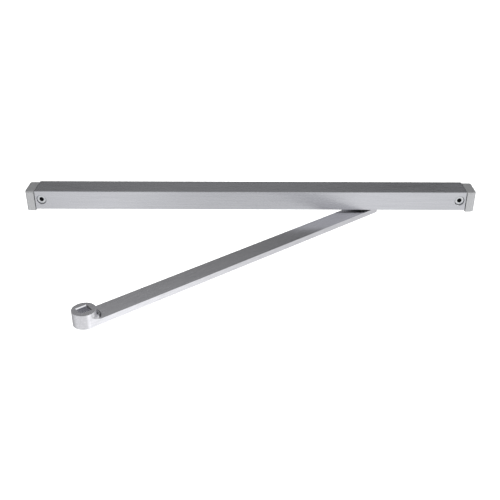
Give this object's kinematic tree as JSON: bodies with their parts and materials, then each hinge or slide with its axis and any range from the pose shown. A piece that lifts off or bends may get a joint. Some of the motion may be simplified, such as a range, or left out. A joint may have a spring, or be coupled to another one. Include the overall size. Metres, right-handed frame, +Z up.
{
  "type": "door closer slide rail with arm",
  "caption": "Silver slide rail of a door closer, with end caps and recessed screws; a flat arm with a square-socket hub pivots on a slider that runs in the channel under the rail.",
  "frame": {"origin": "centre of the rail's back face, where it lies on the lintel", "axes": "+X along the rail, +Y into the lintel, +Z up; the arm reaches towards -Y"},
  "size_m": [0.44, 0.2354, 0.0255],
  "materials": {
    "anodised_aluminium": "satin silver anodised extrusion with a fine lengthwise grain",
    "cap_silver": "satin silver paint",
    "die_cast_zinc": "dull die-cast zinc",
    "black_rubber": "matt black",
    "zinc_plated_steel": "bright zinc plating",
    "white_nylon": "natural nylon",
    "bronze": "turned, oiled",
    "satin_steel": "satin silver plated forging",
    "spring_steel": "dark oiled spring steel"
  },
  "bodies": {
    "rail": {"rail_channel": "anodised_aluminium", "end_cap_left": "cap_silver", "end_cap_right": "cap_silver", "end_block_left": "die_cast_zinc", "end_block_right": "die_cast_zinc", "end_buffer_left": "black_rubber", "end_buffer_right": "black_rubber", "fixing_screw_left": "zinc_plated_steel", "fixing_screw_right": "zinc_plated_steel"},
    "slider": {"slide_carrier": "die_cast_zinc", "glide_shoe_left": "white_nylon", "glide_shoe_right": "white_nylon", "slide_bush": "bronze"},
    "arm": {"slide_arm": "satin_steel", "pivot_pin": "zinc_plated_steel", "thrust_washer": "white_nylon", "pivot_washer": "zinc_plated_steel", "retaining_ring": "spring_steel"}
  },
  "joints": [
    {"name": "slider_travel", "type": "slide", "parent": "rail", "child": "slider", "axis": [1, 0, 0], "range_m": [-0.2815, 0.0475]},
    {"name": "arm_swing", "type": "hinge", "parent": "slider", "child": "arm", "pos_m": [0.117, -0.013, -0.006], "axis": [0, 0, 1], "range_deg": [-34.9, 135.7]}
  ]
}
